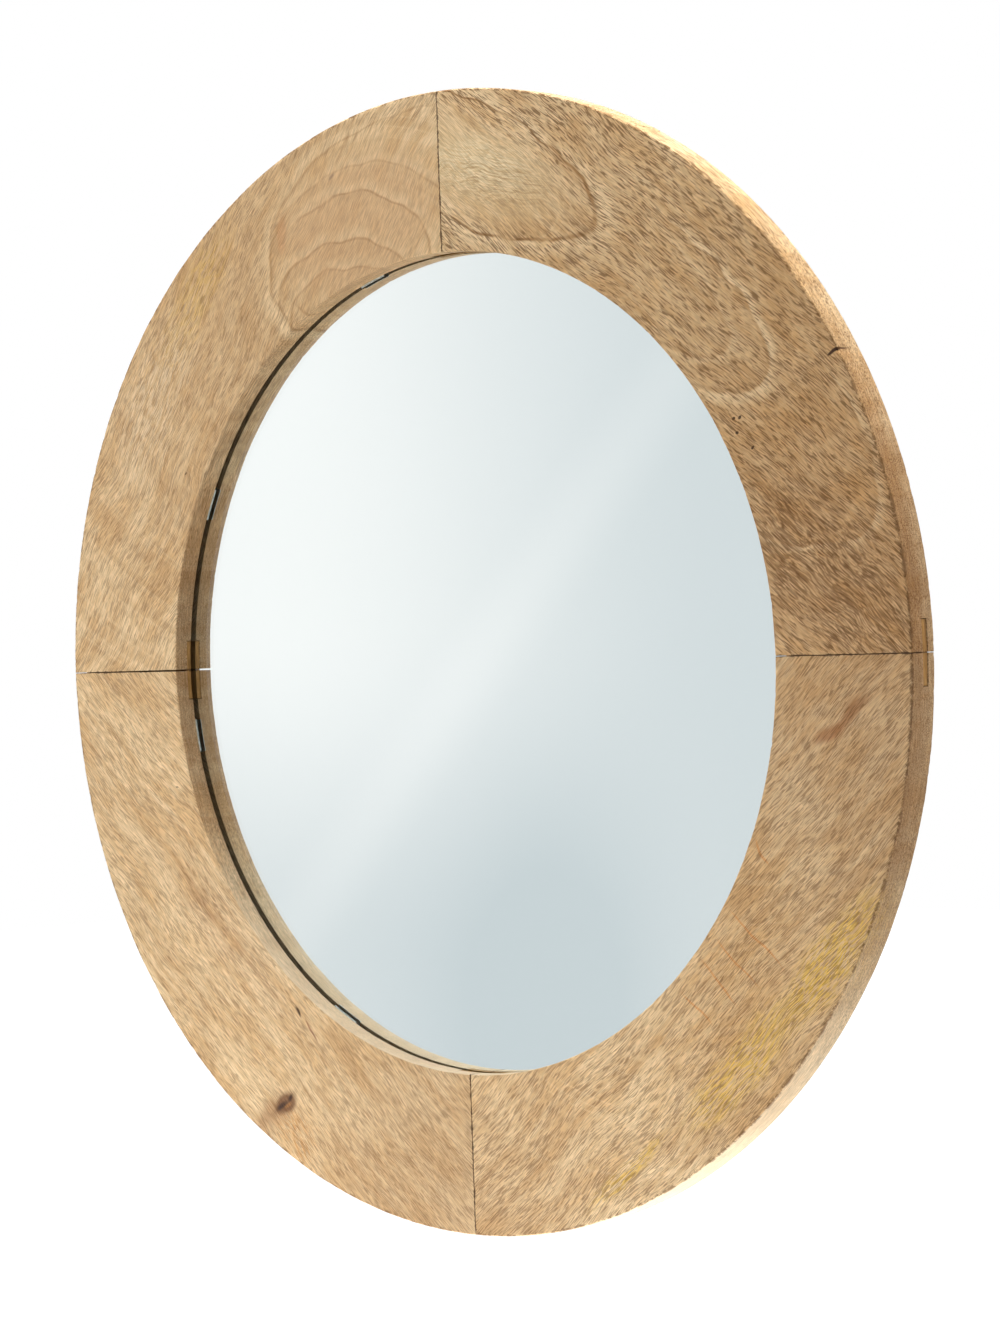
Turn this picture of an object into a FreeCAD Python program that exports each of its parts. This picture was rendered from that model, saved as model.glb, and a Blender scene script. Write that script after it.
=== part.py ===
import FreeCAD, Part
import math
import os

# Round wall mirror in millimetres.
# Four solid-wood quarters make the ring. A loose tongue (spline) bridges each butt joint.
# The pane sits behind the ring's lip and a board screwed into the back holds it in.
# The mirror faces -Y, +Z is up, and the origin is on the wall plane at the ring's centre.

# ---- driving dimensions ----
FRAME_DIAMETER = 600.0
RING_WIDTH = 84.5            # outer edge to the opening
FRAME_THICKNESS = 18.0
ARRIS = 0.6                  # small chamfer on every round edge

GLASS_REBATE_WIDTH = 10.0    # ledge that covers the pane's rim
BOARD_LEDGE_WIDTH = 14.5     # second ledge, which the backing board is screwed to

PAD_THICKNESS = 0.4
GLASS_THICKNESS = 2.9
SILVER_THICKNESS = 0.1
BOARD_THICKNESS = 3.0
GLASS_EDGE_GAP = 2.5         # between the pane's rim and the rebate wall
BOARD_EDGE_GAP = 0.5

JOINT_GAP_OUTER = 0.5        # the butt joints stand slightly open
JOINT_GAP_INNER = 1.0
SPLINE_SLOT_FROM_FRONT = 8.7
SPLINE_SLOT_THICKNESS = 4.0
SPLINE_THICKNESS = 3.6
SPLINE_SPAN = 32.0           # across the joint, half of it in each quarter
SPLINE_END_GAP = 0.4         # each end of the slot
SPLINE_SETBACK = 0.3         # below the ring's edges

PAD_LENGTH = 18.0
PAD_WIDTH = 8.0
PAD_OVERHANG = 0.8           # how far a pad shows past the lip
PAD_ANGLES = (12.0, 60.0, 107.0, 154.8, 189.8, 241.4, 288.0, 334.0)

PACKER_LENGTH = 16.0
PACKER_SLACK = 0.1
PACKER_HEIGHT = 3.0
PACKER_ANGLES = (20.0, 160.0, 248.0, 292.0)

SCREW_RADIUS = 1.5
SCREW_HEAD_RADIUS = 3.0
SCREW_HEAD_HEIGHT = 1.6
SCREW_LENGTH = 12.0
SCREW_FIT = 0.03             # radial clearance around every screw
DRIVE_SIZE = 3.6             # cross recess, tip to tip
DRIVE_WIDTH = 0.8
DRIVE_DEPTH = 1.0
BOARD_SCREW_COUNT = 8

HANGER_X = 150.0
STRAP_WIDTH = 13.0
STRAP_THICKNESS = 1.0
STRAP_LENGTH = 32.0          # lower end to the ring's pivot
STRAP_END_MARGIN = 7.0       # lower end to the lower screw
STRAP_TO_BOARD = 3.0
LOOP_WIRE_RADIUS = 1.2
LOOP_HALF_WIDTH = 10.0       # wire centre line
LOOP_CORNER_RADIUS = 3.0
LOOP_LEG = 6.0
PIVOT_RUNNING_FIT = 0.06
BARREL_WALL = 1.0
PIVOT_LIFT = 0.4             # between the loop and the strap when the loop hangs

BUMPER_RADIUS = 6.0
BUMPER_HEIGHT = 6.0
BUMPER_EDGE = 0.8
BUMPER_ANGLES = (28.0, 152.0, 232.0, 308.0)

# ---- derived places ----
OUTER_R = FRAME_DIAMETER / 2
OPENING_R = OUTER_R - RING_WIDTH
REBATE_R = OPENING_R + GLASS_REBATE_WIDTH
RECESS_R = REBATE_R + BOARD_LEDGE_WIDTH
GLASS_R = REBATE_R - GLASS_EDGE_GAP
BOARD_R = RECESS_R - BOARD_EDGE_GAP

WALL_Y = 0.0
BACK_Y = WALL_Y - BUMPER_HEIGHT
FRONT_Y = BACK_Y - FRAME_THICKNESS
LEDGE_Y = BACK_Y - BOARD_THICKNESS
SILVER_Y = LEDGE_Y - SILVER_THICKNESS
GLASS_Y = SILVER_Y - GLASS_THICKNESS
LIP_BACK_Y = GLASS_Y - PAD_THICKNESS

SLOT_Y = FRONT_Y + SPLINE_SLOT_FROM_FRONT
BOARD_SCREW_R = (REBATE_R + RECESS_R) / 2
BUMPER_CENTRE_R = (RECESS_R + OUTER_R) / 2

PIVOT_Y = BACK_Y + STRAP_THICKNESS + PIVOT_LIFT + LOOP_WIRE_RADIUS
BORE_R = LOOP_WIRE_RADIUS + PIVOT_RUNNING_FIT
BARREL_R = BORE_R + BARREL_WALL
STRAP_LOW_Z = math.sqrt((RECESS_R + STRAP_TO_BOARD) ** 2 - (HANGER_X - STRAP_WIDTH / 2) ** 2)
PIVOT_Z = STRAP_LOW_Z + STRAP_LENGTH
# The upper screw sits in the middle of the hanging loop, clear of the barrel.
UPPER_SCREW_DROP = (BARREL_R + LOOP_LEG + LOOP_HALF_WIDTH - LOOP_WIRE_RADIUS) / 2

FORWARD = FreeCAD.Vector(0, -1, 0)
BACKWARD = FreeCAD.Vector(0, 1, 0)
SIDEWAYS = FreeCAD.Vector(1, 0, 0)

QUARTERS = {"top_right": 0, "top_left": 90, "bottom_left": 180, "bottom_right": 270}
JOINTS = {"right": 0, "top": 90, "left": 180, "bottom": 270}
HANGERS = {"left": -HANGER_X, "right": HANGER_X}


def vector(x, y, z):
    return FreeCAD.Vector(x, y, z)


def around(angle, radius, y, sideways=0.0):
    """Point at an angle seen from the front, counter-clockwise from +X."""
    a = math.radians(angle)
    x = radius * math.cos(a) - sideways * math.sin(a)
    z = radius * math.sin(a) + sideways * math.cos(a)
    return vector(x, y, z)


def turned(shape, angle):
    """Copy of a shape made at angle 0, turned to another angle about the ring's axis."""
    copy = shape.copy()
    copy.rotate(vector(0, 0, 0), FORWARD, angle)
    return copy


def revolved(profile, angle=360.0):
    """Revolve (radius, y) points about the ring's axis, starting at +X."""
    points = [vector(radius, y, 0) for radius, y in profile]
    face = Part.Face(Part.makePolygon(points + points[:1]))
    return face.revolve(vector(0, 0, 0), FORWARD, angle)


def prism(points, height):
    """Extrude a polygon towards +Y."""
    face = Part.Face(Part.makePolygon(points + points[:1]))
    return face.extrude(BACKWARD * height)


def sector(inner, outer, y, height, length, angle):
    """Piece of a flat ring, its middle at an angle and its length measured on the inner edge."""
    span = math.degrees(length / inner)
    corners = [(inner, y), (outer, y), (outer, y + height), (inner, y + height)]
    return turned(revolved(corners, span), angle - span / 2)


def ring_profile(outer, opening):
    return [
        (opening + ARRIS, FRONT_Y),
        (outer - ARRIS, FRONT_Y),
        (outer, FRONT_Y + ARRIS),
        (outer, BACK_Y - ARRIS),
        (outer - ARRIS, BACK_Y),
        (RECESS_R, BACK_Y),
        (RECESS_R, LEDGE_Y),
        (REBATE_R, LEDGE_Y),
        (REBATE_R, LIP_BACK_Y),
        (opening, LIP_BACK_Y),
        (opening, FRONT_Y + ARRIS),
    ]


def quarter_wedge(start):
    """Quarter of a turn, trimmed on both sides by half of the tapered joint gap."""
    reach = OUTER_R / 2
    slope = (JOINT_GAP_OUTER - JOINT_GAP_INNER) / 2 / RING_WIDTH
    near = OPENING_R / 2
    far = OUTER_R + reach

    def trim(radius):
        return JOINT_GAP_INNER / 2 + slope * (radius - OPENING_R)

    corners = [
        around(start, near, FRONT_Y, trim(near)),
        around(start, far, FRONT_Y, trim(far)),
        around(start + 45, far + reach, FRONT_Y),
        around(start + 90, far, FRONT_Y, -trim(far)),
        around(start + 90, near, FRONT_Y, -trim(near)),
    ]
    return prism(corners, FRAME_THICKNESS)


def spline_block(span, thickness):
    """Block across the joint at angle 0, from the opening to past the outer edge."""
    corner = vector(OPENING_R / 2, SLOT_Y, -span / 2)
    return Part.makeBox(OUTER_R, thickness, span, corner)


def make_spline(angle):
    ring = revolved(ring_profile(OUTER_R - SPLINE_SETBACK, OPENING_R + SPLINE_SETBACK))
    block = spline_block(SPLINE_SPAN, SPLINE_THICKNESS)
    return turned(block.common(ring), angle)


def screw_body(x, z, back, grow=0.0):
    """Countersunk screw whose head is flush with a back face and which points forwards."""
    head = Part.makeCone(
        SCREW_HEAD_RADIUS + grow, SCREW_RADIUS + grow, SCREW_HEAD_HEIGHT, vector(x, back, z), FORWARD
    )
    shank_length = SCREW_LENGTH + grow
    shank = Part.makeCylinder(SCREW_RADIUS + grow, shank_length, vector(x, back, z), FORWARD)
    return head.fuse(shank).removeSplitter()


def make_screw(x, z, back):
    low = -DRIVE_SIZE / 2
    side = -DRIVE_WIDTH / 2
    floor = back - DRIVE_DEPTH
    arms = [
        Part.makeBox(DRIVE_SIZE, DRIVE_DEPTH, DRIVE_WIDTH, vector(x + low, floor, z + side)),
        Part.makeBox(DRIVE_WIDTH, DRIVE_DEPTH, DRIVE_SIZE, vector(x + side, floor, z + low)),
    ]
    return screw_body(x, z, back).cut(arms)


def board_screw_places():
    step = 360.0 / BOARD_SCREW_COUNT
    points = [around(step * (i + 0.5), BOARD_SCREW_R, BACK_Y) for i in range(BOARD_SCREW_COUNT)]
    return [(point.x, point.z, BACK_Y) for point in points]


def hanger_screw_places(x):
    back = BACK_Y + STRAP_THICKNESS
    return [(x, PIVOT_Z - UPPER_SCREW_DROP, back), (x, STRAP_LOW_Z + STRAP_END_MARGIN, back)]


def all_hanger_screws():
    return [place for x in HANGERS.values() for place in hanger_screw_places(x)]


def make_quarters():
    ring = revolved(ring_profile(OUTER_R, OPENING_R))
    slot = spline_block(SPLINE_SPAN + 2 * SPLINE_END_GAP, SPLINE_SLOT_THICKNESS)
    cuts = [turned(slot, angle) for angle in JOINTS.values()]
    cuts += [screw_body(*place, grow=SCREW_FIT) for place in board_screw_places() + all_hanger_screws()]
    bored = ring.cut(cuts)
    return {name: bored.common(quarter_wedge(start)) for name, start in QUARTERS.items()}


def make_disc(radius, y, thickness):
    return Part.makeCylinder(radius, thickness, vector(0, y, 0), BACKWARD)


def make_board():
    holes = [screw_body(*place, grow=SCREW_FIT) for place in board_screw_places()]
    return make_disc(BOARD_R, LEDGE_Y, BOARD_THICKNESS).cut(holes)


def make_pads():
    inner = OPENING_R - PAD_OVERHANG
    return [sector(inner, inner + PAD_WIDTH, LIP_BACK_Y, PAD_THICKNESS, PAD_LENGTH, a) for a in PAD_ANGLES]


def make_packers():
    inner = GLASS_R + PACKER_SLACK
    outer = REBATE_R - PACKER_SLACK
    return [sector(inner, outer, LIP_BACK_Y, PACKER_HEIGHT, PACKER_LENGTH, a) for a in PACKER_ANGLES]


def make_strap(x):
    """Strap screwed to the back, its upper end curled into a barrel for the loop."""
    half = STRAP_WIDTH / 2
    low = vector(x - half, BACK_Y, STRAP_LOW_Z + half)
    plate = Part.makeBox(STRAP_WIDTH, STRAP_THICKNESS, STRAP_LENGTH - half, low)
    round_end = Part.makeCylinder(half, STRAP_THICKNESS, vector(x, BACK_Y, STRAP_LOW_Z + half), BACKWARD)
    left = vector(x - half, PIVOT_Y, PIVOT_Z)
    barrel = Part.makeCylinder(BARREL_R, STRAP_WIDTH, left, SIDEWAYS)
    bore = Part.makeCylinder(BORE_R, STRAP_WIDTH, left, SIDEWAYS)
    holes = [screw_body(*place, grow=SCREW_FIT) for place in hanger_screw_places(x)]
    return plate.fuse([round_end, barrel]).cut([bore] + holes).removeSplitter()


def arc_tube(radius, start, sweep, x, z):
    """Part of a torus of the loop's wire, counter-clockwise from a start angle seen from the front."""
    # A partial torus made with this axis starts at -Z, which is 270 degrees.
    arc = Part.makeTorus(radius, LOOP_WIRE_RADIUS, vector(0, 0, 0), FORWARD, 0, 360, sweep)
    tube = turned(arc, start - 270)
    tube.translate(vector(x, PIVOT_Y, z))
    return tube


def make_loop(x):
    """D-shaped wire loop hanging from its straight bar, which turns in the barrel."""
    wire = LOOP_WIRE_RADIUS
    half = LOOP_HALF_WIDTH
    bar_half = half - LOOP_CORNER_RADIUS
    bend_z = PIVOT_Z - LOOP_CORNER_RADIUS
    foot_z = PIVOT_Z - LOOP_LEG
    loop = Part.makeCylinder(wire, 2 * bar_half, vector(x - bar_half, PIVOT_Y, PIVOT_Z), SIDEWAYS)
    pieces = [
        arc_tube(half, 180, 180, x, foot_z),
        arc_tube(LOOP_CORNER_RADIUS, 0, 90, x + bar_half, bend_z),
        arc_tube(LOOP_CORNER_RADIUS, 90, 90, x - bar_half, bend_z),
    ]
    for side in (-half, half):
        foot = vector(x + side, PIVOT_Y, foot_z)
        pieces.append(Part.makeCylinder(wire, LOOP_LEG - LOOP_CORNER_RADIUS, foot, vector(0, 0, 1)))
    return loop.fuse(pieces).removeSplitter()


def make_bumper(angle):
    base = around(angle, BUMPER_CENTRE_R, BACK_Y)
    post = Part.makeCylinder(BUMPER_RADIUS, BUMPER_HEIGHT - BUMPER_EDGE, base, BACKWARD)
    rim = base + BACKWARD * (BUMPER_HEIGHT - BUMPER_EDGE)
    nose = Part.makeCone(BUMPER_RADIUS, BUMPER_RADIUS - BUMPER_EDGE, BUMPER_EDGE, rim, BACKWARD)
    return post.fuse(nose).removeSplitter()


def export(name, shapes):
    shape = shapes[0] if len(shapes) == 1 else Part.makeCompound(shapes)
    if not shape.isValid():
        raise ValueError(name + " is not a valid shape")
    shape.exportStep("parts/" + name + ".step")
    print(name, len(shape.Solids), "solids, volume", round(shape.Volume, 3))


def build():
    for name, quarter in make_quarters().items():
        export("frame_quarter_" + name, [quarter])
    for name, angle in JOINTS.items():
        export("spline_" + name, [make_spline(angle)])
    export("mirror_glass", [make_disc(GLASS_R, GLASS_Y, GLASS_THICKNESS)])
    export("mirror_silvering", [make_disc(GLASS_R, SILVER_Y, SILVER_THICKNESS)])
    export("backing_board", [make_board()])
    export("backing_screws", [make_screw(*place) for place in board_screw_places()])
    export("glass_pads", make_pads())
    export("glass_edge_packers", make_packers())
    for name, x in HANGERS.items():
        export("hanger_strap_" + name, [make_strap(x)])
        export("hanger_loop_" + name, [make_loop(x)])
    export("hanger_screws", [make_screw(*place) for place in all_hanger_screws()])
    export("wall_bumpers", [make_bumper(angle) for angle in BUMPER_ANGLES])


os.makedirs("parts", exist_ok=True)
build()
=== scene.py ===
import math

import bpy
from mathutils import Matrix, Vector, noise


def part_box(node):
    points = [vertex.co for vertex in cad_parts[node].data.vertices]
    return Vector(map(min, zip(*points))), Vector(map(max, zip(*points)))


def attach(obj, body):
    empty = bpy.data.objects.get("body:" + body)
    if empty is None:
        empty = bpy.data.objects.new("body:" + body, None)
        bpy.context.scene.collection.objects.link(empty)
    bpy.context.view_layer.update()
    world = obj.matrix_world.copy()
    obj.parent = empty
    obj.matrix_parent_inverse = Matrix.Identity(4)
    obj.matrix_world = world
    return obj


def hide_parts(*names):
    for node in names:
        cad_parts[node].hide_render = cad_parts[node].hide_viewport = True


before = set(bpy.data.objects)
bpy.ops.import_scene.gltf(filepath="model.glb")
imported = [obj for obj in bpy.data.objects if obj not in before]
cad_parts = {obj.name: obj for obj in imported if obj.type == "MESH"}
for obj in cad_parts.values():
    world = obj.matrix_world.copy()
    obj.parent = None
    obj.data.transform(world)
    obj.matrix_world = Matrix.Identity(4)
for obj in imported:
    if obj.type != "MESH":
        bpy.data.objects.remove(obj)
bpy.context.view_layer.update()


def ring_radius(node, pick):
    """Smallest or largest distance of a node's points from the ring's axis."""
    return pick(math.hypot(v.co.x, v.co.z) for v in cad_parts[node].data.vertices)


# ---- sizes in metres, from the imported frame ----
MM = 0.001
RING_LOW, RING_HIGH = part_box("frame_quarter_top_right")
FRONT_Y = RING_LOW.y
BACK_Y = RING_HIGH.y
OUTER_R = ring_radius("frame_quarter_top_right", max)
OPENING_R = ring_radius("frame_quarter_top_right", min)
BOARD_EDGE_GAP = 0.5 * MM
RECESS_R = ring_radius("backing_board", max) + BOARD_EDGE_GAP
LEDGE_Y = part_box("backing_board")[0].y
GLASS_R = ring_radius("mirror_glass", max)
GLASS_EDGE_GAP = 2.5 * MM
REBATE_R = GLASS_R + GLASS_EDGE_GAP
GLASS_FRONT_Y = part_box("mirror_glass")[0].y
SILVER_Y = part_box("mirror_silvering")[0].y
LIP_BACK_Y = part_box("glass_pads")[0].y
MIDDLE_R = (OPENING_R + OUTER_R) / 2
MIDDLE_Y = (FRONT_Y + BACK_Y) / 2
SPLINE_LOW, SPLINE_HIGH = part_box("spline_right")
SPLINE_END_GAP = 0.4 * MM
SPLINE_SLACK = 0.4 * MM
SLOT_SPAN = SPLINE_HIGH.z - SPLINE_LOW.z + 2 * SPLINE_END_GAP
SLOT_THICKNESS = SPLINE_HIGH.y - SPLINE_LOW.y + SPLINE_SLACK

# ---- camera: where the view is taken from ----
VIEW_AZIMUTH = 42.96
VIEW_ELEVATION = 0.67
VIEW_ROLL = -1.98
VIEW_DISTANCE = 7.51 * OUTER_R
VIEW_TARGET = Vector((0.105 * OUTER_R, FRONT_Y, -0.0037 * OUTER_R))
LENS_MM = 117.5


# ---- node graphs ----
class Graph:
    """A node tree with short calls for the nodes that the finishes use."""

    def __init__(self, owner):
        owner.use_nodes = True
        self.tree = owner.node_tree
        self.bsdf = self.tree.nodes.get("Principled BSDF")

    def put(self, socket, value):
        if isinstance(value, bpy.types.NodeSocket):
            self.tree.links.new(value, socket)
        else:
            socket.default_value = value

    def node(self, kind, inputs=(), **settings):
        made = self.tree.nodes.new(kind)
        for key, value in settings.items():
            setattr(made, key, value)
        for key, value in dict(inputs).items():
            self.put(made.inputs[key], value)
        return made

    def math(self, operation, a, b=0.0, clamp=False):
        return self.node("ShaderNodeMath", {0: a, 1: b}, operation=operation, use_clamp=clamp).outputs[0]

    def vector(self, operation, a, b=(0.0, 0.0, 0.0)):
        made = self.node("ShaderNodeVectorMath", {0: a, 1: b}, operation=operation)
        return made.outputs["Value" if operation in ("LENGTH", "DOT_PRODUCT") else 0]

    def scaled(self, vector, factor):
        return self.node("ShaderNodeVectorMath", {0: vector, "Scale": factor}, operation="SCALE").outputs[0]

    def ramp(self, value, low, high, to_low=0.0, to_high=1.0):
        inputs = {"Value": value, "From Min": low, "From Max": high, "To Min": to_low, "To Max": to_high}
        return self.node("ShaderNodeMapRange", inputs, interpolation_type="SMOOTHSTEP").outputs[0]

    def mix(self, factor, a, b):
        made = self.node("ShaderNodeMix", data_type="RGBA")
        self.put(made.inputs[0], factor)
        self.put(made.inputs[6], a)
        self.put(made.inputs[7], b)
        return made.outputs[2]

    def noise(self, vector, detail=2.0, roughness=0.5):
        inputs = {"Vector": vector, "Scale": 1.0, "Detail": detail, "Roughness": roughness}
        return self.node("ShaderNodeTexNoise", inputs).outputs["Fac"]

    def cells(self, vector):
        inputs = {"Vector": vector, "Scale": 1.0}
        return self.node("ShaderNodeTexVoronoi", inputs, feature="F1").outputs["Distance"]

    def place_mm(self):
        """Place on the object in millimetres."""
        return self.scaled(self.node("ShaderNodeTexCoord").outputs["Object"], 1000.0)

    def turned(self, vector, angle):
        """The place in axes whose X lies at an angle in the ring's plane, seen from the front."""
        made = self.node("ShaderNodeMapping", {"Vector": vector, "Rotation": (0.0, math.radians(angle), 0.0)})
        return made.outputs[0]

    def spread(self, vector, along, across, depth=None):
        """Divide a vector by the sizes of the pattern in its three directions."""
        return self.vector("MULTIPLY", vector, (1.0 / along, 1.0 / (depth or across), 1.0 / across))

    def oval(self, place, x, z, angle, half_length, half_width):
        """Place in units of an oval's half axes, on the face of the ring."""
        away = self.turned(self.vector("SUBTRACT", place, (x, 0.0, z)), angle)
        return self.vector("MULTIPLY", away, (1.0 / half_length, 0.0, 1.0 / half_width))

    def bump(self, height, distance_mm, strength=1.0):
        inputs = {"Height": height, "Distance": distance_mm * MM, "Strength": strength}
        return self.node("ShaderNodeBump", inputs).outputs[0]


def new_material(name):
    material = bpy.data.materials.new(name)
    return material, Graph(material)


def linear(red, green, blue):
    """Display colour from 0 to 255 to the linear colour that a shader takes."""
    def channel(value):
        v = value / 255.0
        return v / 12.92 if v <= 0.04045 else ((v + 0.055) / 1.055) ** 2.4

    return (channel(red), channel(green), channel(blue), 1.0)


# ---- marks on the wood: each returns a function that paints over a colour ----
def stain(x, z, angle, length, width, colour, amount, core=0.4):
    """Soft oval patch, full inside the core's share of its size."""
    def paint_on(g, place, base):
        away = g.vector("LENGTH", g.oval(place, x, z, angle, length / 2, width / 2))
        return g.mix(g.ramp(away, core, 1.0, amount, 0.0), base, colour)

    return paint_on


def streaks(x, z, angle, length, width, colour, amount):
    """Oval patch that shows only along some of the fibres."""
    def paint_on(g, place, base):
        away = g.vector("LENGTH", g.oval(place, x, z, angle, length / 2, width / 2))
        lines = g.noise(g.spread(g.turned(place, angle), 22.0, 0.9), detail=3.0, roughness=0.6)
        shown = g.math("MULTIPLY", g.ramp(away, 0.3, 1.0, amount, 0.0), g.ramp(lines, 0.42, 0.58))
        return g.mix(shown, base, colour)

    return paint_on


def growth_line(x, z, angle, half_length, half_width, strength=1.0, open_from=-2.0, line=0.7, band_mm=8.0):
    """Edge of a growth ring: a thin dark line of a given depth with a pale band outside it."""
    def paint_on(g, place, base):
        at = g.oval(place, x, z, angle, half_length, half_width)
        out = g.math("MULTIPLY", g.math("SUBTRACT", g.vector("LENGTH", at), 1.0), half_width)
        forward = g.node("ShaderNodeSeparateXYZ", {0: at}).outputs[0]
        broken = g.ramp(g.noise(g.spread(place, 14.0, 14.0)), 0.36, 0.52, 0.45, 1.0)
        shown = g.math("MULTIPLY", g.ramp(forward, open_from, open_from + 0.4), broken)
        fade = g.ramp(out, band_mm / 4, band_mm, 0.7 * strength, 0.0)
        band = g.math("MULTIPLY", g.ramp(out, 0.3, 1.4), fade)
        thin = g.ramp(g.math("ABSOLUTE", out), 0.15, 0.9, line * strength, 0.0)
        painted = g.mix(g.math("MULTIPLY", band, shown), base, PALE)
        return g.mix(g.math("MULTIPLY", thin, shown), painted, DARK_LINE)

    return paint_on


def knot(x, z, size):
    """Small dark knot with a torn black core and a brown halo drawn out to one side."""
    marks = [
        stain(x - 11.0, z - 6.0, 30.0, size * 3.8, size * 2.0, linear(150, 106, 66), 0.65, 0.1),
        streaks(x + 9.0, z - 18.0, -50.0, size * 3.8, size * 2.6, linear(190, 130, 62), 0.6),
        stain(x, z, 38.0, size * 1.5, size * 1.0, linear(116, 80, 54), 0.9, 0.5),
        stain(x - 2.5, z - 1.5, 40.0, size * 0.95, size * 0.34, linear(58, 44, 40), 0.95, 0.2),
        stain(x + 3.0, z + 3.0, 55.0, size * 0.55, size * 0.26, linear(62, 44, 36), 0.95, 0.2),
        stain(x + 1.0, z - 1.0, 38.0, size * 0.5, size * 0.2, linear(160, 110, 66), 0.8, 0.3),
    ]

    def paint_on(g, place, base):
        for mark in marks:
            base = mark(g, place, base)
        return base

    return paint_on


def shade_towards(x, z, reach, colour, amount):
    """Slow change of tone around a place: the wood's own tone, and in some places painted shade as well."""
    return stain(x, z, 0.0, 2 * reach, 2 * reach, colour, amount, 0.0)


PALE = linear(226, 197, 154)
TAN = linear(210, 174, 127)
BROWN = linear(172, 131, 84)
PORE = linear(100, 65, 32)
DARK_LINE = linear(146, 106, 64)
YELLOW = linear(214, 172, 62)
RUST = linear(178, 112, 62)
NEARLY_BLACK = linear(58, 36, 26)
ORANGE = linear(202, 134, 70)
# Painted shade for the sides of the round faces, and painted light for their lower part.
PAINTED_SIDE_SHADE = linear(150, 96, 44)
PAINTED_BOTTOM_LIGHT = linear(240, 222, 190)
EDGE_BAND_MM = 2.2
MARK_DRIFT_MM = 11.0


def turned_point(x, z, angle):
    """A place on the face in axes turned by an angle."""
    a = math.radians(angle)
    return x * math.cos(a) + z * math.sin(a), z * math.cos(a) - x * math.sin(a)


def along_the_grain(g, place, grain, waviness):
    """Place in axes whose X follows the board's slowly bending grain."""
    board = g.turned(place, grain)
    bend = g.noise(g.spread(board, 80.0, 140.0), detail=1.0)
    drift = g.math("MULTIPLY", g.math("SUBTRACT", bend, 0.5), waviness)
    return g.vector("ADD", board, g.node("ShaderNodeCombineXYZ", {"Z": drift}).outputs[0])


def board_colour(g, grained, grain, figure, base):
    """Slow mottling, streaks along the grain and the figure of the growth rings."""
    pale, tan, brown = base
    blotch = g.noise(g.spread(grained, 40.0, 13.0, 50.0), detail=4.0, roughness=0.65)
    streak = g.noise(g.spread(grained, 70.0, 3.2), detail=3.0, roughness=0.6)
    colour = g.mix(g.ramp(blotch, 0.36, 0.62), tan, pale)
    colour = g.mix(g.ramp(streak, 0.46, 0.66, 0.0, 0.38), colour, brown)
    x, z, angle, stretch, spacing = figure
    centre_x, centre_z = turned_point(x, z, grain)
    oval = g.oval(grained, centre_x, centre_z, angle - grain, spacing * stretch, spacing)
    ring = g.node("ShaderNodeCombineXYZ", {"X": g.vector("LENGTH", oval), "Y": grain}).outputs[0]
    ring_tone = g.noise(ring, detail=3.0)
    colour = g.mix(g.ramp(ring_tone, 0.42, 0.62, 0.0, 0.25), colour, brown)
    ring_line = g.ramp(g.math("ABSOLUTE", g.math("SUBTRACT", ring_tone, 0.5)), 0.0, 0.01, 0.3, 0.0)
    return g.mix(ring_line, colour, pale)


def drifted(g, place):
    """Place shifted a few millimetres to and fro, so that marks get natural outlines."""
    warp = g.node("ShaderNodeTexNoise", {"Vector": g.spread(place, 26.0, 26.0), "Scale": 1.0, "Detail": 1.5})
    shift = g.vector("SUBTRACT", warp.outputs["Color"], (0.5, 0.5, 0.5))
    return g.vector("ADD", place, g.scaled(shift, MARK_DRIFT_MM))


def marked_colour(g, place, loose, colour, marks):
    """Marks on the front, which fade out towards the back."""
    painted = colour
    for mark in marks:
        painted = mark(g, loose, painted)
    depth = g.node("ShaderNodeSeparateXYZ", {0: place}).outputs[1]
    near_back = g.ramp(depth, FRONT_Y / MM + 4.0, BACK_Y / MM - 1.0, 0.0, 0.9)
    return g.mix(near_back, painted, colour)


def pores(g, grained, pore_depth):
    """Share of dark in the open pores: short dashes and wider pits, both more common in places."""
    dashes = g.noise(g.vector("ADD", g.spread(grained, 6.5, 0.5), (9.1, 4.7, 2.3)), detail=0.6)
    dense = g.noise(g.spread(grained, 22.0, 7.0), detail=2.0)
    level = g.ramp(dense, 0.35, 0.65, 0.41, 0.48)
    close = g.ramp(g.math("SUBTRACT", level, dashes), 0.0, 0.04)
    size = g.ramp(dense, 0.35, 0.65, 0.12, 0.22)
    wide = g.ramp(g.math("SUBTRACT", size, g.cells(g.spread(grained, 7.0, 0.9))), -0.02, 0.06)
    close_dark = g.math("MULTIPLY", close, 0.85 * pore_depth)
    return g.math("MAXIMUM", close_dark, g.math("MULTIPLY", wide, 0.5 * pore_depth))


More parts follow.
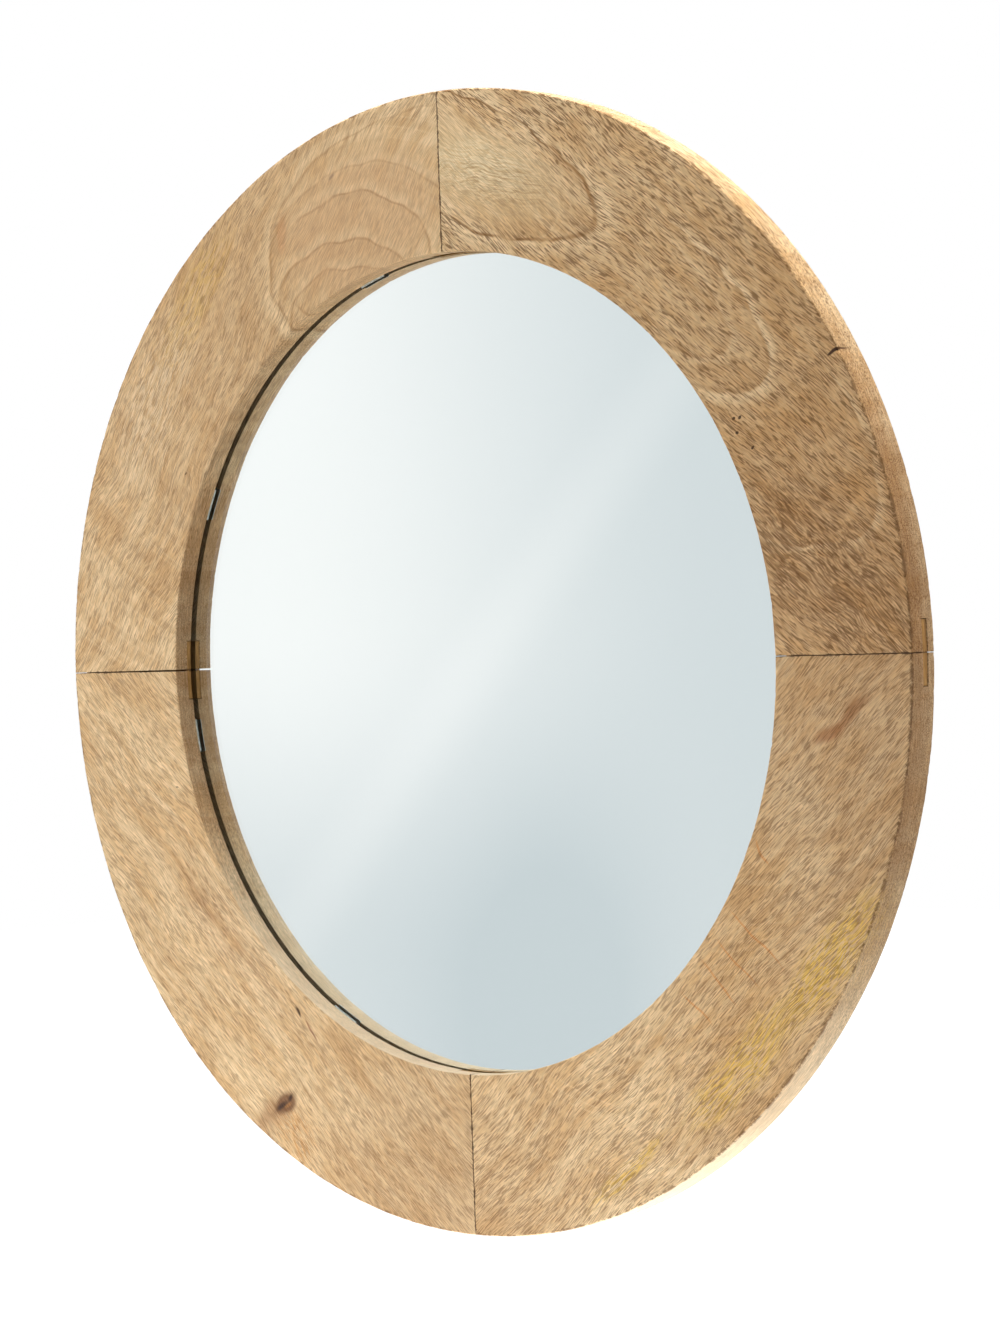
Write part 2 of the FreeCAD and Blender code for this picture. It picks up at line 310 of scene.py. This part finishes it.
def turned_face_colour(g, place, colour):
    """Round faces show fine turned lines, with painted shade that makes them browner at the sides and painted
    light that makes them paler at the bottom.
    """
    axes = g.node("ShaderNodeSeparateXYZ", {0: place}).outputs
    radius = g.vector("LENGTH", g.vector("MULTIPLY", place, (1.0, 0.0, 1.0)))
    from_outside = g.math("SUBTRACT", OUTER_R / MM, radius)
    from_opening = g.math("SUBTRACT", radius, OPENING_R / MM)
    outer_face = g.ramp(from_outside, 0.1, 0.4, 1.0, 0.0)
    on_face = g.math("MAXIMUM", outer_face, g.ramp(from_opening, 0.1, 0.4, 1.0, 0.0))
    around = g.math("MULTIPLY", g.math("ARCTAN2", axes[2], axes[0]), OPENING_R / MM)
    unrolled = g.node("ShaderNodeCombineXYZ", {"X": around, "Y": axes[1], "Z": around}).outputs[0]
    lines = g.noise(g.vector("MULTIPLY", unrolled, (0.05, 1.1, 0.0)), detail=3.0, roughness=0.65)
    colour = g.mix(on_face, colour, g.scaled(colour, g.ramp(lines, 0.36, 0.64, 0.78, 1.14)))
    # Painted shade: the round faces near 3 and 9 o'clock are made browner, as if less light reached them.
    side_on = g.ramp(g.math("DIVIDE", g.math("ABSOLUTE", axes[0]), radius), 0.8, 1.0, 0.0, 0.32)
    colour = g.mix(g.math("MULTIPLY", on_face, side_on), colour, PAINTED_SIDE_SHADE)
    # Painted light: the round faces towards the bottom are made paler, as if more brightly lit.
    downwards = g.ramp(g.math("DIVIDE", axes[2], radius), -0.95, -0.3, 0.5, 0.0)
    return g.mix(g.math("MULTIPLY", on_face, downwards), colour, PAINTED_BOTTOM_LIGHT)


def worn_edge_colour(g, place, colour):
    """Dirt on the outer front edge, and dark saw marks beside the joints, where x = 0 or z = 0."""
    depth = g.node("ShaderNodeSeparateXYZ", {0: place}).outputs[1]
    radius = g.vector("LENGTH", g.vector("MULTIPLY", place, (1.0, 0.0, 1.0)))
    from_front = g.math("SUBTRACT", depth, FRONT_Y / MM)
    corner = g.math("MAXIMUM", g.math("SUBTRACT", OUTER_R / MM, radius), from_front)
    rough = g.noise(g.spread(place, 6.0, 6.0), detail=4.0, roughness=0.75)
    reach = g.ramp(rough, 0.42, 0.6, 0.5, EDGE_BAND_MM)
    colour = g.mix(g.ramp(g.math("SUBTRACT", reach, corner), 0.0, 1.2, 0.0, 0.62), colour, PORE)
    beside = g.node("ShaderNodeSeparateXYZ", {0: g.vector("ABSOLUTE", place)}).outputs
    nearest = g.math("MINIMUM", beside[0], beside[2])
    joint = g.math("SUBTRACT", nearest, g.ramp(rough, 0.45, 0.65, 0.0, 0.8))
    return g.mix(g.ramp(joint, 0.0, 0.45, 0.7, 0.0), colour, NEARLY_BLACK)


def wood_material(name, grain, waviness, figure, pore_depth, marks=(), base=(PALE, TAN, BROWN), smooth=()):
    """Open-pored tan wood whose mottling, fibres and pores follow the grain of the board.

    figure is the centre, angle, stretch and spacing of the growth rings. smooth is an oval with few pores.
    """
    material, g = new_material(name)
    place = g.place_mm()
    grained = along_the_grain(g, place, grain, waviness)
    loose = drifted(g, place)
    colour = board_colour(g, grained, grain, figure, base)
    colour = marked_colour(g, place, loose, colour, marks)
    fibre = g.noise(g.spread(grained, 8.0, 0.48), detail=1.0, roughness=0.6)
    colour = g.scaled(colour, g.ramp(fibre, 0.36, 0.64, 0.82, 1.14))
    dark = pores(g, grained, pore_depth)
    if smooth:
        calm = g.ramp(g.vector("LENGTH", g.oval(loose, *smooth)), 0.6, 1.1, 0.25, 1.0)
        dark = g.math("MULTIPLY", dark, calm)
    colour = g.mix(dark, colour, PORE)
    colour = turned_face_colour(g, place, colour)
    colour = worn_edge_colour(g, place, colour)
    g.put(g.bsdf.inputs["Base Color"], colour)
    g.put(g.bsdf.inputs["Roughness"], g.ramp(fibre, 0.2, 0.8, 0.58, 0.76))
    g.bsdf.inputs["Specular IOR Level"].default_value = 0.3
    relief = g.math("SUBTRACT", g.math("MULTIPLY", fibre, 0.4), dark)
    g.put(g.bsdf.inputs["Normal"], g.bump(relief, 0.14, 0.7))
    return material


def top_right_wood():
    marks = [
        # Darker towards the right edge: partly the wood's own tone, partly painted shade where the light
        # falls off away from the key lamp.
        shade_towards(300.0, 40.0, 260.0, linear(164, 108, 42), 0.52),
        shade_towards(180.0, 190.0, 220.0, linear(168, 122, 64), 0.33),
        stain(30.0, 255.0, -23.0, 150.0, 52.0, linear(216, 192, 148), 0.5, 0.3),
        streaks(40.0, 248.0, -12.0, 120.0, 34.0, linear(160, 120, 74), 0.6),
        streaks(30.0, 258.0, -14.0, 110.0, 40.0, linear(230, 210, 170), 0.6),
        growth_line(22.0, 260.0, -23.0, 92.0, 31.0, 1.0, -2.0, 0.85),
        growth_line(140.0, 189.0, -35.0, 90.0, 34.0, 1.0, -0.3, 0.25, 5.5),
        growth_line(118.0, 206.0, -35.0, 90.0, 25.0, 0.5, 0.0, 0.3, 4.0),
        growth_line(179.0, 136.0, -36.0, 120.0, 52.0, 0.6, 0.2, 0.3, 4.5),
        streaks(250.0, 40.0, -40.0, 190.0, 90.0, linear(112, 74, 40), 0.7),
        stain(259.0, 147.0, 30.0, 9.0, 2.4, NEARLY_BLACK, 0.95, 0.6),
    ]
    for x, z in ((194.0, 119.0), (198.5, 119.0), (195.0, 111.0), (206.0, 103.0)):
        marks.append(stain(x, z, 20.0, 3.0, 2.0, NEARLY_BLACK, 0.95, 0.6))
    figure = (20.0, 262.0, -30.0, 2.4, 15.0)
    smooth = (22.0, 258.0, -23.0, 86.0, 28.0)
    return wood_material("wood_top_right", -37.0, 14.0, figure, 0.85, marks, smooth=smooth)


def top_left_wood():
    marks = [
        shade_towards(-170.0, 220.0, 250.0, linear(180, 140, 94), 0.5),
        stain(-60.0, 235.0, 10.0, 150.0, 90.0, linear(196, 158, 116), 0.7, 0.5),
        growth_line(-66.0, 218.0, 0.0, 56.0, 34.0, 0.55, -0.9),
        growth_line(-72.0, 200.0, 0.0, 50.0, 28.0, 0.5),
        growth_line(-55.0, 215.0, 0.0, 75.0, 52.0, 0.3),
        growth_line(-10.0, 225.0, 4.0, 120.0, 68.0, 0.45),
        growth_line(-70.0, 190.0, 4.0, 44.0, 24.0, 0.4),
        stain(-119.0, 235.0, 80.0, 30.0, 8.0, RUST, 0.28),
        stain(-80.0, 262.0, 40.0, 9.0, 3.0, linear(128, 104, 88), 0.5),
        streaks(-190.0, 205.0, 52.0, 130.0, 40.0, YELLOW, 0.3),
        streaks(-225.0, 150.0, 60.0, 160.0, 60.0, linear(226, 202, 166), 0.5),
        stain(-202.0, 109.0, 40.0, 3.0, 1.6, NEARLY_BLACK, 0.7),
    ]
    figure = (-50.0, 205.0, 0.0, 1.5, 12.0)
    smooth = (-50.0, 235.0, 8.0, 90.0, 60.0)
    return wood_material("wood_top_left", 55.0, 24.0, figure, 0.5, marks, smooth=smooth)


def bottom_left_wood():
    marks = [
        shade_towards(-20.0, -285.0, 170.0, linear(164, 130, 92), 0.5),
        knot(-139.0, -239.0, 13.0),
        stain(-127.5, -186.5, -62.0, 11.0, 2.6, NEARLY_BLACK, 0.95, 0.3),
        stain(-118.0, -197.0, -60.0, 20.0, 1.8, linear(120, 62, 40), 0.7),
        stain(-220.0, -65.0, 0.0, 3.0, 2.0, NEARLY_BLACK, 0.6),
        streaks(-180.0, -150.0, -43.0, 170.0, 50.0, linear(168, 126, 92), 0.35),
    ]
    figure = (-300.0, 150.0, -43.0, 5.0, 14.0)
    return wood_material("wood_bottom_left", -43.0, 10.0, figure, 0.5, marks)


def bottom_right_wood():
    marks = [
        # Darker towards the right edge: partly the wood's own tone, partly painted shade where the light
        # falls off away from the key lamp.
        shade_towards(290.0, -10.0, 210.0, linear(162, 118, 72), 0.5),
        shade_towards(10.0, -290.0, 120.0, linear(172, 136, 94), 0.45),
        shade_towards(195.0, -175.0, 110.0, linear(180, 130, 66), 0.4),
        stain(262.0, -28.0, 42.0, 36.0, 10.0, linear(142, 88, 44), 0.7, 0.2),
        stain(249.0, -37.0, 20.0, 26.0, 10.0, linear(146, 90, 46), 0.7, 0.3),
        streaks(243.0, -150.0, 47.0, 130.0, 34.0, YELLOW, 0.75),
        streaks(185.0, -203.0, 43.0, 130.0, 34.0, YELLOW, 0.7),
        streaks(108.0, -260.0, 38.0, 90.0, 14.0, YELLOW, 0.7),
        stain(203.5, -97.5, -59.0, 20.0, 1.6, ORANGE, 0.6, 0.5),
        stain(184.0, -190.0, 40.0, 5.0, 2.5, linear(130, 86, 52), 0.7),
    ]
    for step in range(4):
        along = 13.0 * step
        z = -139.5 - 0.9 * along
        marks.append(stain(198.0 - along, z, -41.0, 54.0 - 8.0 * step, 1.6, ORANGE, 0.6, 0.5))
    figure = (300.0, 40.0, 41.0, 2.0, 20.0)
    return wood_material("wood_bottom_right", 41.0, 11.0, figure, 0.62, marks)


def spline_seam_line(y):
    """Dark line along one face of a spline, at its outer end."""
    def paint_on(g, place, base):
        depth = g.node("ShaderNodeSeparateXYZ", {0: g.place_mm()}).outputs[1]
        off = g.math("ABSOLUTE", g.math("SUBTRACT", depth, y / MM))
        radius = g.vector("LENGTH", g.vector("MULTIPLY", place, (1.0, 0.0, 1.0)))
        outside = g.ramp(radius, OUTER_R / MM - 12.0, OUTER_R / MM - 8.0)
        return g.mix(g.math("MULTIPLY", g.ramp(off, 0.7, 1.2, 0.9, 0.0), outside), base, NEARLY_BLACK)

    return paint_on


def spline_wood():
    honey = (linear(204, 158, 96), linear(186, 138, 76), linear(152, 106, 54))
    figure = (0.0, 0.0, 0.0, 9.0, 9.0)
    return wood_material("wood_spline", 90.0, 6.0, figure, 0.4, [spline_seam_line(SPLINE_HIGH.y)], honey)


def mirror_materials():
    glass, g = new_material("mirror_clear_glass")
    wash = g.noise(g.spread(g.place_mm(), 160.0, 160.0))
    g.put(g.bsdf.inputs["Base Color"], g.mix(wash, linear(249, 253, 251), linear(251, 254, 253)))
    g.bsdf.inputs["Transmission Weight"].default_value = 1.0
    g.bsdf.inputs["Roughness"].default_value = 0.0
    g.bsdf.inputs["IOR"].default_value = 1.52
    silver, g = new_material("mirror_silver")
    wash = g.noise(g.spread(g.place_mm(), 120.0, 120.0))
    g.put(g.bsdf.inputs["Base Color"], g.mix(wash, linear(250, 251, 251), linear(252, 253, 253)))
    g.bsdf.inputs["Metallic"].default_value = 1.0
    g.bsdf.inputs["Roughness"].default_value = 0.0
    return glass, silver


def plain_material(name, light, dark, roughness, size_mm, metallic=0.0, relief_mm=0.05):
    """Mottled finish for small parts."""
    material, g = new_material(name)
    grain = g.noise(g.spread(g.place_mm(), size_mm, size_mm), detail=4.0)
    g.put(g.bsdf.inputs["Base Color"], g.mix(g.ramp(grain, 0.35, 0.65), dark, light))
    g.put(g.bsdf.inputs["Roughness"], g.ramp(grain, 0.2, 0.8, roughness - 0.06, roughness + 0.06))
    g.bsdf.inputs["Metallic"].default_value = metallic
    g.put(g.bsdf.inputs["Normal"], g.bump(grain, relief_mm, 0.5))
    return material


# ---- pieces ----
def mesh_object(name, points, faces, materials, body):
    mesh = bpy.data.meshes.new(name)
    mesh.from_pydata(points, [], faces)
    mesh.validate()
    for material in materials:
        mesh.materials.append(material)
    made = bpy.data.objects.new(name, mesh)
    bpy.context.scene.collection.objects.link(made)
    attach(made, body)
    return made


PANE_STEPS = 256
PANE_EDGE = 0.4 * MM


def make_pane():
    """One closed glass disc with ground edges. Its back face is the silvering."""
    steps = PANE_STEPS
    rows = [
        (GLASS_R - PANE_EDGE, GLASS_FRONT_Y),
        (GLASS_R, GLASS_FRONT_Y + PANE_EDGE),
        (GLASS_R, SILVER_Y - PANE_EDGE),
        (GLASS_R - PANE_EDGE, SILVER_Y),
    ]
    points = []
    for radius, y in rows:
        for i in range(steps):
            a = 2 * math.pi * i / steps
            points.append((radius * math.cos(a), y, radius * math.sin(a)))
    faces = [tuple(range(steps))]
    for row in range(len(rows) - 1):
        for i in range(steps):
            j = (i + 1) % steps
            low, high = row * steps, (row + 1) * steps
            faces.append((low + j, low + i, high + i, high + j))
    faces.append(tuple(reversed(range(len(points) - steps, len(points)))))
    pane = mesh_object("mirror_pane", points, faces, mirror_materials(), "mirror")
    pane.data.polygons[len(faces) - 1].material_index = 1
    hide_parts("mirror_glass", "mirror_silvering")


# Section of a quarter: radius, y and how much of the edge wear a point takes.
ARRIS = 0.6 * MM
SOFT = 0.18 * MM
SECTION = [
    (OPENING_R, FRONT_Y + ARRIS, 0.6),
    (OPENING_R + SOFT, FRONT_Y + SOFT, 1.0),
    (OPENING_R + ARRIS, FRONT_Y, 0.6),
    (OPENING_R + 4 * ARRIS, FRONT_Y, 0.1),
    (OUTER_R - 4 * ARRIS, FRONT_Y, 0.1),
    (OUTER_R - ARRIS, FRONT_Y, 0.6),
    (OUTER_R - SOFT, FRONT_Y + SOFT, 1.0),
    (OUTER_R, FRONT_Y + ARRIS, 0.6),
    (OUTER_R, FRONT_Y + 4 * ARRIS, 0.1),
    (OUTER_R, BACK_Y - 4 * ARRIS, 0.1),
    (OUTER_R, BACK_Y - ARRIS, 0.6),
    (OUTER_R - SOFT, BACK_Y - SOFT, 1.0),
    (OUTER_R - ARRIS, BACK_Y, 0.6),
    (RECESS_R, BACK_Y, 0.0),
    (RECESS_R, LEDGE_Y, 0.0),
    (REBATE_R, LEDGE_Y, 0.0),
    (REBATE_R, LIP_BACK_Y, 0.0),
    (OPENING_R, LIP_BACK_Y, 0.0),
]
SECTION_STEPS = 360
JOINT_GAP_OUTER = 0.35 * MM
JOINT_GAP_INNER = {0.0: 0.35 * MM, 90.0: 0.7 * MM, 180.0: 1.0 * MM, 270.0: 0.7 * MM}
WEAR_DEPTH = 0.45 * MM
WEAR_LENGTH = 14.0 * MM
NICK_ANGLE = 29.5
NICK_DEPTH = 1.3 * MM
NICK_HALF_ANGLE = 0.45
SLOT_CUT_REACH = 90.0 * MM
SHARP_ANGLE = 28.0


def joint_trim(radius, joint):
    """Angle of half of a joint's gap, which differs from the opening to the outer edge."""
    share = (radius - OPENING_R) / (OUTER_R - OPENING_R)
    inner = JOINT_GAP_INNER[joint % 360.0]
    gap = inner + share * (JOINT_GAP_OUTER - inner)
    return math.asin(gap / 2 / radius)


def edge_wear(radius, y, angle):
    """Depth by which handling has rounded an edge at a place."""
    at = Vector((radius * math.cos(angle), y, radius * math.sin(angle))) / WEAR_LENGTH
    slow = 0.5 + 0.5 * noise.noise(at)
    fine = max(0.0, noise.noise(at * 5.0))
    depth = WEAR_DEPTH * (0.5 * slow + 0.9 * fine * fine)
    if y < MIDDLE_Y and radius > REBATE_R:
        off = abs(math.degrees(angle) - NICK_ANGLE) / NICK_HALF_ANGLE
        depth += NICK_DEPTH * max(0.0, 1.0 - off)
    return depth


def make_quarter(name, start, material):
    """Quarter of the ring with worn edges and the spline slots cut into both ends."""
    points = []
    for step in range(SECTION_STEPS + 1):
        for radius, y, share in SECTION:
            low = math.radians(start) + joint_trim(radius, start)
            high = math.radians(start + 90.0) - joint_trim(radius, start + 90.0)
            angle = low + (high - low) * step / SECTION_STEPS
            depth = edge_wear(radius, y, angle) * share
            r = radius + (depth if radius < MIDDLE_R else -depth)
            deeper = y + (depth if y < MIDDLE_Y else -depth)
            points.append((r * math.cos(angle), deeper, r * math.sin(angle)))
    count = len(SECTION)
    faces = [tuple(range(count)), tuple(reversed(range(SECTION_STEPS * count, len(points))))]
    for step in range(SECTION_STEPS):
        low, high = step * count, (step + 1) * count
        for i in range(count):
            j = (i + 1) % count
            faces.append((low + j, low + i, high + i, high + j))
    quarter = mesh_object("quarter_" + name, points, faces, [material], "mirror")
    for end in (start, start + 90.0):
        cut_slot(quarter, end)
    quarter.data.shade_smooth()
    quarter.data.set_sharp_from_angle(angle=math.radians(SHARP_ANGLE))
    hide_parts("frame_quarter_" + name)


def cut_slot(quarter, angle):
    """Cut the spline's slot across the joint at an angle."""
    corners = []
    for radial in (MIDDLE_R - SLOT_CUT_REACH, MIDDLE_R + SLOT_CUT_REACH):
        for y in (SPLINE_LOW.y, SPLINE_LOW.y + SLOT_THICKNESS):
            for sideways in (-SLOT_SPAN / 2, SLOT_SPAN / 2):
                corners.append(Vector((radial, y, sideways)))
    turn = Matrix.Rotation(-math.radians(angle), 4, "Y")
    mesh = bpy.data.meshes.new("slot_cutter")
    faces = [(0, 1, 3, 2), (4, 6, 7, 5), (0, 4, 5, 1), (2, 3, 7, 6), (0, 2, 6, 4), (1, 5, 7, 3)]
    mesh.from_pydata([turn @ corner for corner in corners], [], faces)
    cutter = bpy.data.objects.new("slot_cutter", mesh)
    bpy.context.scene.collection.objects.link(cutter)
    boolean = quarter.modifiers.new("slot", "BOOLEAN")
    boolean.object = cutter
    boolean.operation = "DIFFERENCE"
    boolean.solver = "EXACT"
    bpy.context.view_layer.update()
    cut = bpy.data.meshes.new_from_object(quarter.evaluated_get(bpy.context.evaluated_depsgraph_get()))
    quarter.modifiers.remove(boolean)
    old = quarter.data
    quarter.data = cut
    bpy.data.meshes.remove(old)
    bpy.data.objects.remove(cutter)
    bpy.data.meshes.remove(mesh)


def paint(material, *nodes):
    for node in nodes:
        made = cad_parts[node]
        made.data.materials.clear()
        made.data.materials.append(material)


def make_ring():
    make_quarter("top_right", 0.0, top_right_wood())
    make_quarter("top_left", 90.0, top_left_wood())
    make_quarter("bottom_left", 180.0, bottom_left_wood())
    make_quarter("bottom_right", 270.0, bottom_right_wood())
    paint(spline_wood(), "spline_top", "spline_right", "spline_bottom", "spline_left")


def dress_small_parts():
    board = plain_material("fibreboard", linear(164, 132, 96), linear(142, 110, 76), 0.8, 1.5)
    steel = plain_material("zinc_steel", linear(200, 198, 190), linear(170, 168, 162), 0.35, 3.0, 1.0)
    pad = plain_material("pad_film", linear(205, 214, 208), linear(176, 188, 180), 0.4, 2.0)
    rubber = plain_material("black_rubber", linear(50, 50, 50), linear(32, 32, 32), 0.75, 0.8)
    paint(board, "backing_board")
    paint(steel, "backing_screws", "hanger_screws", "hanger_strap_left", "hanger_strap_right")
    paint(steel, "hanger_loop_left", "hanger_loop_right")
    paint(pad, "glass_pads")
    paint(rubber, "glass_edge_packers", "wall_bumpers")


# ---- stage ----
FLOOR_Z = -0.75
FLOOR_SIZE = 14.0
FLOOR_FRONT_Y = -1.5
FLOOR_GLOW = 1.15
FLOOR_SHADOW_REACH = (0.9, 1.9)
SURROUND_LEVEL = 0.4


def seen_light(g, plain, seen):
    """Show one shader to the camera, mirrors and glass, and another to everything else."""
    path = g.node("ShaderNodeLightPath").outputs
    looked_at = g.math("MAXIMUM", path["Is Camera Ray"], path["Is Glossy Ray"])
    looked_at = g.math("MAXIMUM", looked_at, path["Is Transmission Ray"])
    unscattered = g.math("LESS_THAN", path["Diffuse Depth"], 0.5)
    looked_at = g.math("MULTIPLY", looked_at, unscattered)
    return g.node("ShaderNodeMixShader", {0: looked_at, 1: plain, 2: seen}).outputs[0]


def backdrop_colour(g):
    """White, with the soft grey-blue fall-off of a studio sheet in front of the mirror."""
    direction = g.node("ShaderNodeTexCoord").outputs["Generated"]
    parts = g.node("ShaderNodeSeparateXYZ", {0: direction}).outputs
    ahead = g.math("MAXIMUM", g.math("MULTIPLY", parts[1], -1.0), 0.05)
    side = g.math("DIVIDE", parts[0], ahead)
    height = g.math("DIVIDE", parts[2], ahead)
    rise = g.ramp(side, -1.04, -0.82)
    fall = g.math("MULTIPLY", g.ramp(height, -0.115, 0.0, 1.0, 0.0), g.ramp(side, -0.93, -0.84, 1.0, 0.0))
    dusk = g.math("ADD", g.math("MULTIPLY", rise, 0.82), g.math("MULTIPLY", fall, 0.7))
    corner = g.math("ADD", g.math("MULTIPLY", side, -1.0), height)
    dusk = g.math("ADD", dusk, g.ramp(corner, 1.09, 1.16, 0.0, 0.55))
    across = g.math("SUBTRACT", side, g.math("MULTIPLY", height, 1.0))
    streak = g.ramp(g.math("ABSOLUTE", g.math("ADD", across, 0.925)), 0.0, 0.028, 0.12, 0.0)
    dusk = g.math("SUBTRACT", dusk, streak, clamp=True)
    return g.mix(dusk, linear(255, 255, 255), linear(208, 216, 220))


def make_world():
    world = bpy.data.worlds.new("studio")
    bpy.context.scene.world = world
    g = Graph(world)
    g.tree.nodes.clear()
    white = (1.0, 1.0, 1.0, 1.0)
    plain = g.node("ShaderNodeBackground", {"Color": white, "Strength": SURROUND_LEVEL}).outputs[0]
    backdrop = g.node("ShaderNodeBackground", {"Color": backdrop_colour(g), "Strength": 1.0}).outputs[0]
    behind = g.node("ShaderNodeBackground", {"Color": white, "Strength": 1.0}).outputs[0]
    lit = seen_light(g, plain, backdrop)
    camera_ray = g.node("ShaderNodeLightPath").outputs["Is Camera Ray"]
    shown = g.node("ShaderNodeMixShader", {0: camera_ray, 1: lit, 2: behind}).outputs[0]
    g.node("ShaderNodeOutputWorld", {"Surface": shown})


def make_floor():
    half = FLOOR_SIZE / 2
    corners = []
    for x, y in ((-half, FLOOR_FRONT_Y), (half, FLOOR_FRONT_Y), (half, half), (-half, half)):
        corners.append((x, y, FLOOR_Z))
    mesh = bpy.data.meshes.new("floor")
    mesh.from_pydata(corners, [], [(0, 1, 2, 3)])
    floor = bpy.data.objects.new("floor", mesh)
    bpy.context.scene.collection.objects.link(floor)
    material, g = new_material("pale_floor")
    grain = g.noise(g.spread(g.place_mm(), 400.0, 400.0))
    g.put(g.bsdf.inputs["Base Color"], g.mix(grain, linear(222, 222, 222), linear(228, 228, 228)))
    g.bsdf.inputs["Roughness"].default_value = 0.9
    glow = g.node("ShaderNodeEmission", {"Color": (1.0, 1.0, 1.0, 1.0), "Strength": FLOOR_GLOW}).outputs[0]
    away = g.vector("LENGTH", g.node("ShaderNodeTexCoord").outputs["Object"])
    share = g.ramp(away, *FLOOR_SHADOW_REACH, 0.6, 1.0)
    pale = g.node("ShaderNodeMixShader", {0: share, 1: g.bsdf.outputs[0], 2: glow}).outputs[0]
    output = g.tree.nodes["Material Output"]
    g.tree.links.new(seen_light(g, g.bsdf.outputs[0], pale), output.inputs["Surface"])
    mesh.materials.append(material)
    floor.visible_glossy = False
    floor.visible_transmission = False


def area_light(name, place, target, size, power, colour=(1.0, 1.0, 1.0)):
    data = bpy.data.lights.new(name, "AREA")
    data.shape = "SQUARE"
    data.size = size
    data.energy = power
    data.color = colour
    lamp = bpy.data.objects.new(name, data)
    lamp.location = place
    lamp.rotation_mode = "QUATERNION"
    lamp.rotation_quaternion = (Vector(target) - Vector(place)).to_track_quat("-Z", "Y")
    lamp.visible_camera = False
    lamp.visible_glossy = False
    lamp.visible_transmission = False
    bpy.context.scene.collection.objects.link(lamp)


def make_lights():
    area_light("key", (-1.15, -0.7, 0.3), (-0.1, 0.0, 0.0), 0.8, 7.2)
    area_light("sky", (-0.1, -0.12, 1.55), (0.0, 0.0, -0.1), 0.6, 42.0, (0.96, 1.0, 1.06))
    area_light("top", (0.9, 0.45, 1.6), (0.15, 0.0, 0.1), 0.9, 20.0)
    area_light("low", (0.0, -0.02, -0.7), (0.15, 0.0, -0.1), 0.8, 10.0)
    area_light("back", (0.5, 1.4, 0.3), (0.0, 0.0, 0.0), 1.2, 4.0)


def make_camera():
    azimuth = math.radians(VIEW_AZIMUTH)
    elevation = math.radians(VIEW_ELEVATION)
    roll = math.radians(VIEW_ROLL)
    back = Vector((
        math.sin(azimuth) * math.cos(elevation),
        -math.cos(azimuth) * math.cos(elevation),
        math.sin(elevation),
    ))
    level = Vector((0.0, 0.0, 1.0)).cross(back).normalized()
    upright = back.cross(level)
    right = level * math.cos(roll) + upright * math.sin(roll)
    up = upright * math.cos(roll) - level * math.sin(roll)
    data = bpy.data.cameras.new("camera")
    data.lens = LENS_MM
    data.sensor_width = 36.0
    data.clip_start = 0.05
    camera = bpy.data.objects.new("camera", data)
    turn = Matrix((right, up, back)).transposed().to_4x4()
    camera.matrix_world = Matrix.Translation(VIEW_TARGET + back * VIEW_DISTANCE) @ turn
    bpy.context.scene.collection.objects.link(camera)
    bpy.context.scene.camera = camera


make_ring()
dress_small_parts()
make_pane()
make_floor()
make_world()
make_lights()
make_camera()
bpy.context.scene.view_settings.view_transform = "Standard"
